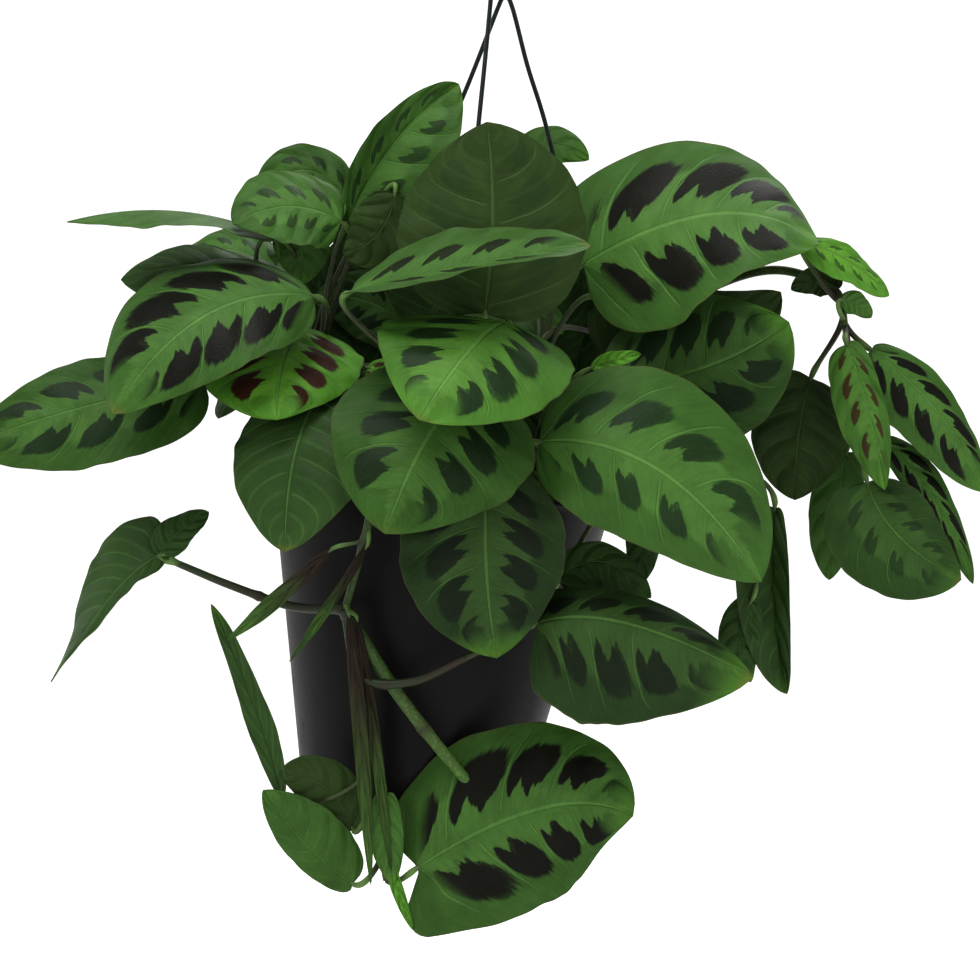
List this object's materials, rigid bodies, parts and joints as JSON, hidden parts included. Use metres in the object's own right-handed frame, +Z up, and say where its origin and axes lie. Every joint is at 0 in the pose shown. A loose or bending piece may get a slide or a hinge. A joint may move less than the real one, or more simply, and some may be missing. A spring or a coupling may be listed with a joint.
{
  "type": "hanging potted plant",
  "caption": "Bushy prayer plant with patterned oval leaves in a black tapered pot, hung by thin wires from a hook, one shoot trailing over the front",
  "frame": {"origin": "the seat of the hook: the inside of the top of its bend, where a rail or ceiling hook carries it", "axes": "+X to the right and +Y away as the plant is seen from the front, +Z up; it hangs as it does in use"},
  "size_m": [0.5017, 0.288, 0.5254],
  "materials": {
    "pot": "satin",
    "soil": "rough",
    "wire": "satin",
    "hook": "satin",
    "leaf": "satin"
  },
  "bodies": {
    "root": {"pot": "pot", "soil": "soil", "hanger_hook": "hook", "hanger_wire_front": "wire", "hanger_wire_left": "wire", "hanger_wire_right": "wire", "shoot_crown_left": "leaf", "shoot_side_left": "leaf", "shoot_low_left": "leaf", "shoot_front_left": "leaf", "shoot_front_middle": "leaf", "shoot_front_low": "leaf", "shoot_front_right": "leaf", "shoot_crown_right": "leaf", "shoot_crown_top": "leaf", "shoot_inner": "leaf", "shoot_trailing_right": "leaf", "shoot_low_right": "leaf", "shoot_hanging_front": "leaf", "shoot_back_1": "leaf", "shoot_back_2": "leaf", "shoot_back_3": "leaf", "shoot_side_right": "leaf"}
  },
  "joints": []
}
